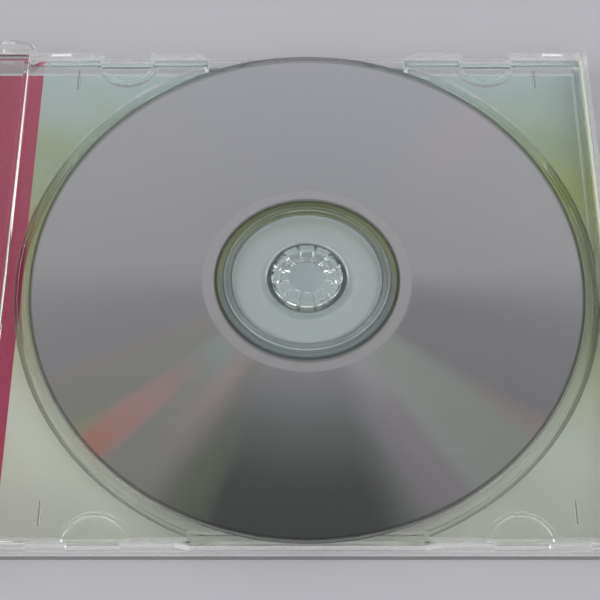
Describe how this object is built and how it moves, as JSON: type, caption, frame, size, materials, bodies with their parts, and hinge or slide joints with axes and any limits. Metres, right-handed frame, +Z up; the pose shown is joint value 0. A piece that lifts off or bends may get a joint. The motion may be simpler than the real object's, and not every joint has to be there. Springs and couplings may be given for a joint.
{
  "type": "music cd in open case",
  "caption": "Compact disc clipped on the hub of a clear tray in its hinged clear case, with inlay card and booklet; the lid swings shut over the disc.",
  "frame": {"origin": "on the case's underside, straight below the centre of the disc's bore", "axes": "+X from the hinge towards the case's opening edge, +Y along the hinge to the back, +Z up through the disc's data side"},
  "size_m": [0.2712, 0.125, 0.01],
  "materials": {
    "clear_base": "clear polished polystyrene",
    "printed_card": "satin printed card",
    "clear_tray": "clear polished polystyrene",
    "disc_mirror": "mirror layer under clear polycarbonate",
    "clear_lid": "clear polished polystyrene",
    "booklet_paper": "coated paper"
  },
  "bodies": {
    "case": {"case_base": "clear_base", "inlay_card": "printed_card", "tray": "clear_tray", "disc": "disc_mirror"},
    "lid": {"lid": "clear_lid", "booklet": "booklet_paper"}
  },
  "joints": [
    {"name": "lid_hinge", "type": "hinge", "parent": "case", "child": "lid", "pos_m": [-0.0701, 0, 0.005], "axis": [0, 1, 0], "range_deg": [0, 180]}
  ]
}
